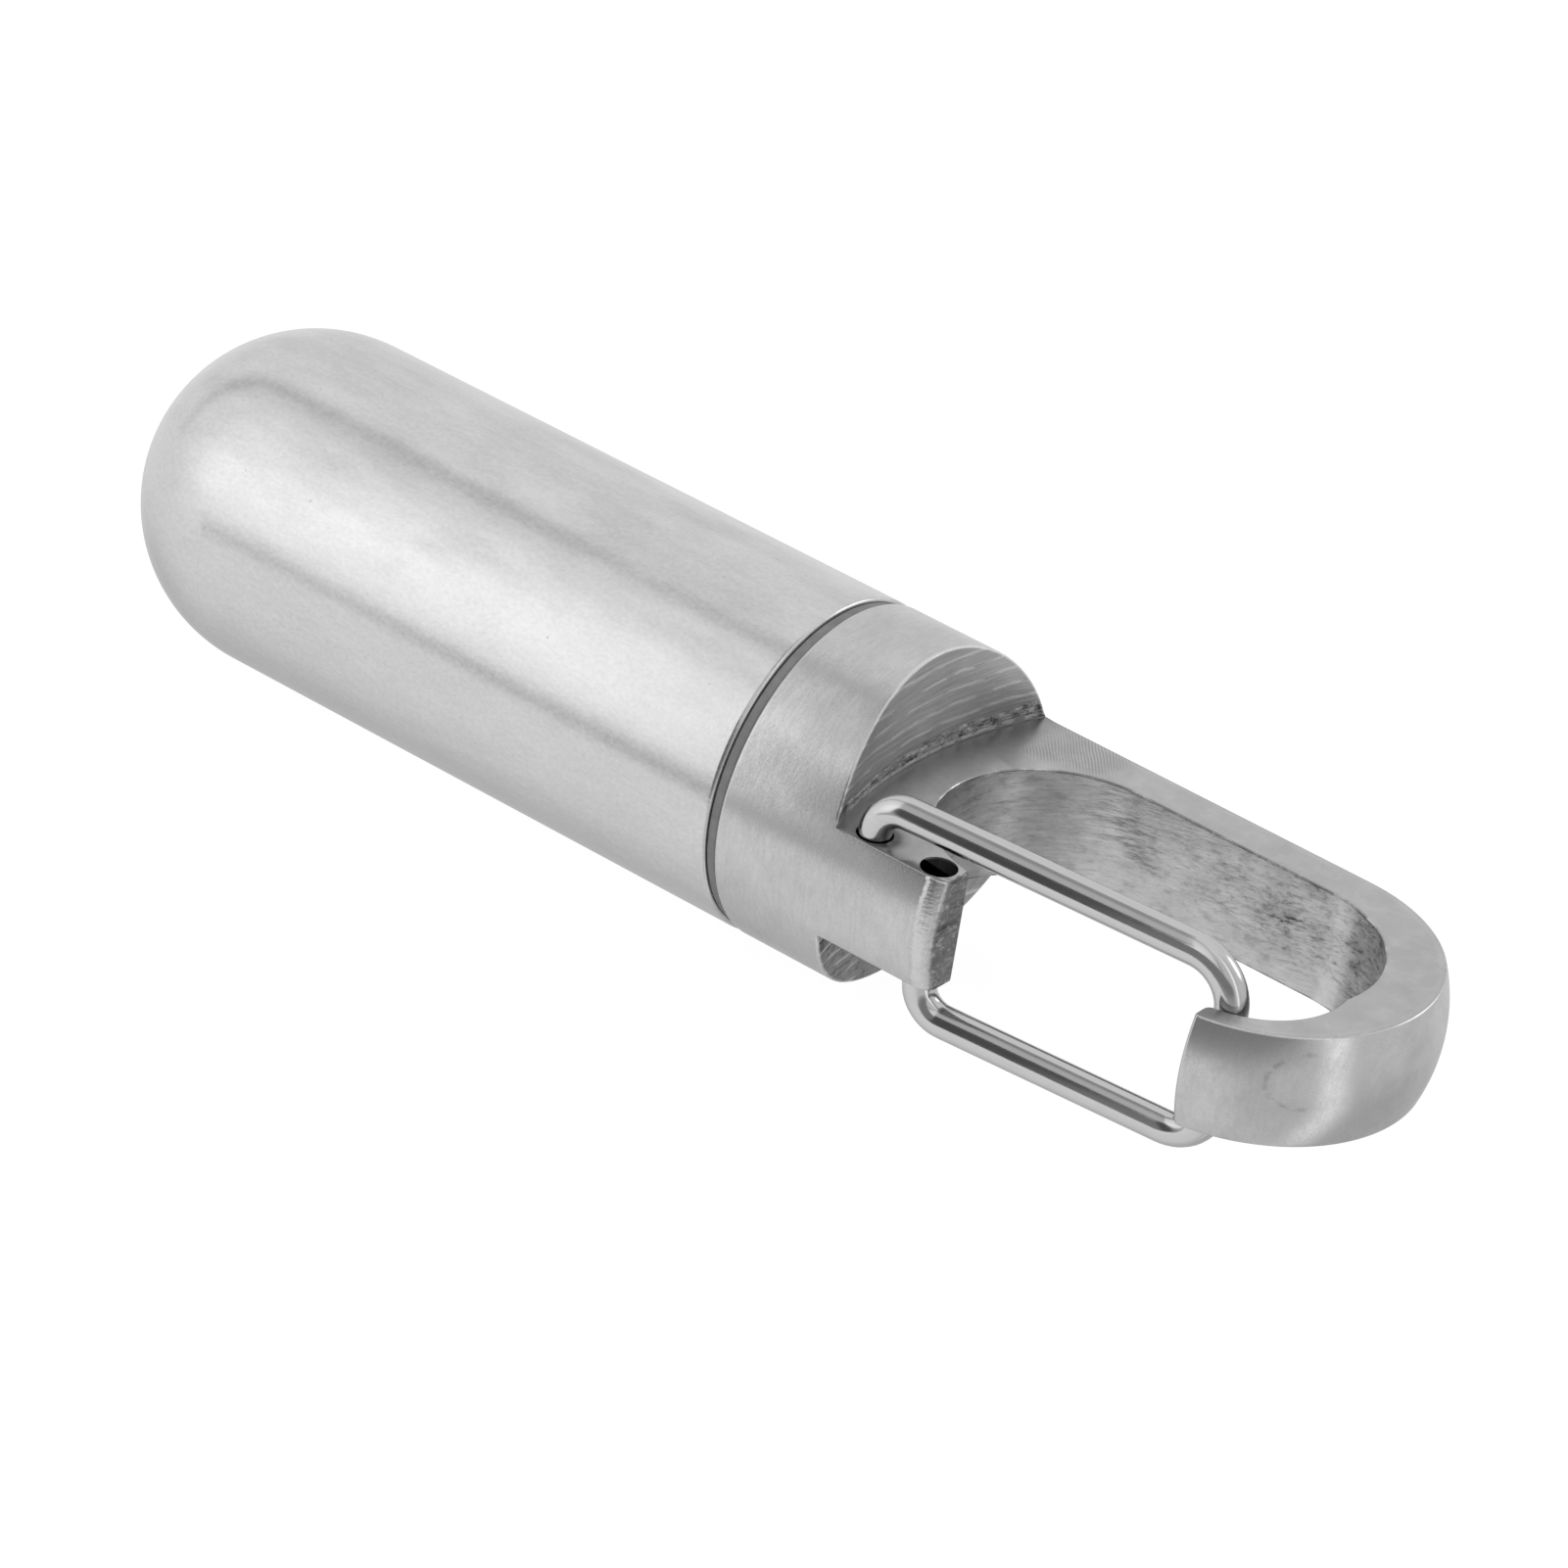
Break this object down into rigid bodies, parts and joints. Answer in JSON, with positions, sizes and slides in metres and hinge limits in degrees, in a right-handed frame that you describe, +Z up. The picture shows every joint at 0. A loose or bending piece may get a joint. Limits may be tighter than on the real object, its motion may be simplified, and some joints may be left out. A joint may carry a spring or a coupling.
{
  "type": "pill fob keychain",
  "caption": "Round-ended metal pill tube with a screw cap milled in one piece with a flat snap hook, closed by a sprung wire gate.",
  "frame": {"origin": "on the surface that the fob lies on, under the middle of its length", "axes": "+X along the tube towards the hook, +Y towards the hook's long rail, away from the gate, +Z up, square to the hook's flat faces"},
  "size_m": [0.065, 0.015, 0.015],
  "materials": {
    "barrel_metal": "satin, finely turned",
    "seal_rubber": "matte",
    "hook_metal": "satin, with fine marks of the cutters",
    "gate_wire": "polished spring wire"
  },
  "bodies": {
    "barrel": {"barrel": "barrel_metal"},
    "seal": {"seal_ring": "seal_rubber"},
    "hook": {"hook_cap": "hook_metal"},
    "gate": {"wire_gate": "gate_wire"}
  },
  "joints": [
    {"name": "seal_slide", "type": "slide", "parent": "barrel", "child": "seal", "axis": [1, 0, 0], "range_m": [0, 0.0063]},
    {"name": "cap_turn", "type": "hinge", "parent": "seal", "child": "hook", "pos_m": [0, 0, 0.0075], "axis": [1, 0, 0], "range_deg": [0, 2250]},
    {"name": "gate_swing", "type": "hinge", "parent": "hook", "child": "gate", "pos_m": [0.00985, -0.00615, 0.0075], "axis": [0, 0, 1], "range_deg": [0, 33.2], "stiffness_Nm_per_rad": 0.06, "springref_deg": -8.59}
  ],
  "couplings": [
    {"joint": "seal_slide", "follows": "cap_turn", "m_per_rad": 0.00015915}
  ]
}
